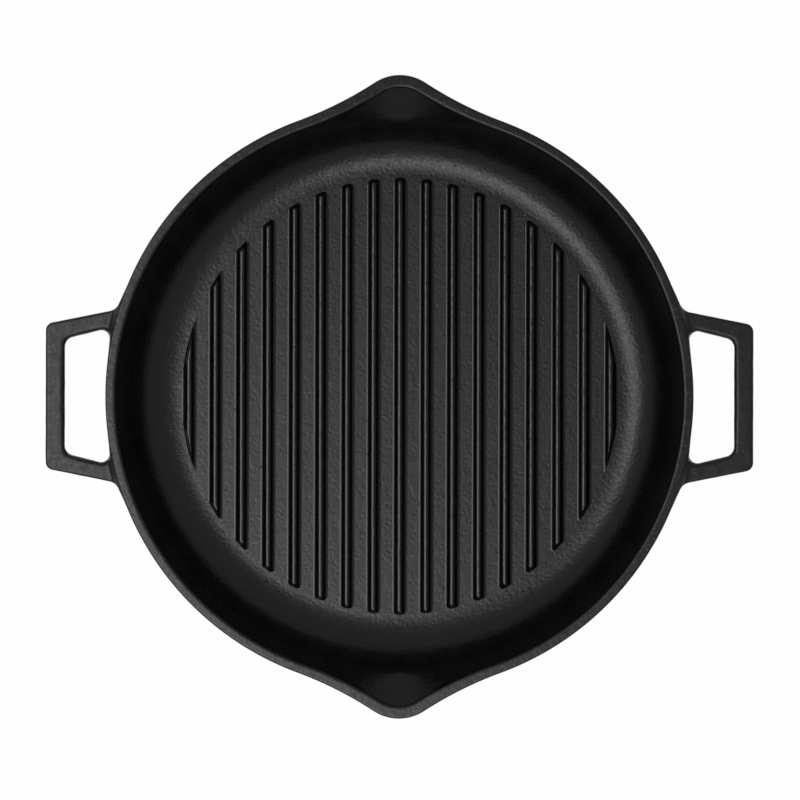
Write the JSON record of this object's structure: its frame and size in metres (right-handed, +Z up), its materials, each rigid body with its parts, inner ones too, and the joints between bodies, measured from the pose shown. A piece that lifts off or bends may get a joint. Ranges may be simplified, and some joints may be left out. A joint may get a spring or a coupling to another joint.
{
  "type": "grill pan",
  "caption": "Round cast-iron grill pan with a ribbed flat floor, a sloping wall, pouring spouts front and rear, and a loop handle on each side.",
  "frame": {"origin": "middle of the flat resting face, under the middle of the pan", "axes": "+Z up; +X from the middle to the right handle; +Y from the middle to the rear spout"},
  "size_m": [0.3608, 0.3282, 0.048],
  "materials": {
    "seasoned_iron": "sand-cast iron with a baked-on oil seasoning: near-black, satin, fine grain"
  },
  "bodies": {
    "root": {"pan_floor": "seasoned_iron", "side_wall": "seasoned_iron", "rim": "seasoned_iron", "front_spout": "seasoned_iron", "rear_spout": "seasoned_iron", "left_handle": "seasoned_iron", "right_handle": "seasoned_iron", "rib_01": "seasoned_iron", "rib_02": "seasoned_iron", "rib_03": "seasoned_iron", "rib_04": "seasoned_iron", "rib_05": "seasoned_iron", "rib_06": "seasoned_iron", "rib_07": "seasoned_iron", "rib_08": "seasoned_iron", "rib_09": "seasoned_iron", "rib_10": "seasoned_iron", "rib_11": "seasoned_iron", "rib_12": "seasoned_iron", "rib_13": "seasoned_iron", "rib_14": "seasoned_iron", "rib_15": "seasoned_iron", "rib_16": "seasoned_iron", "rib_17": "seasoned_iron"}
  },
  "joints": []
}
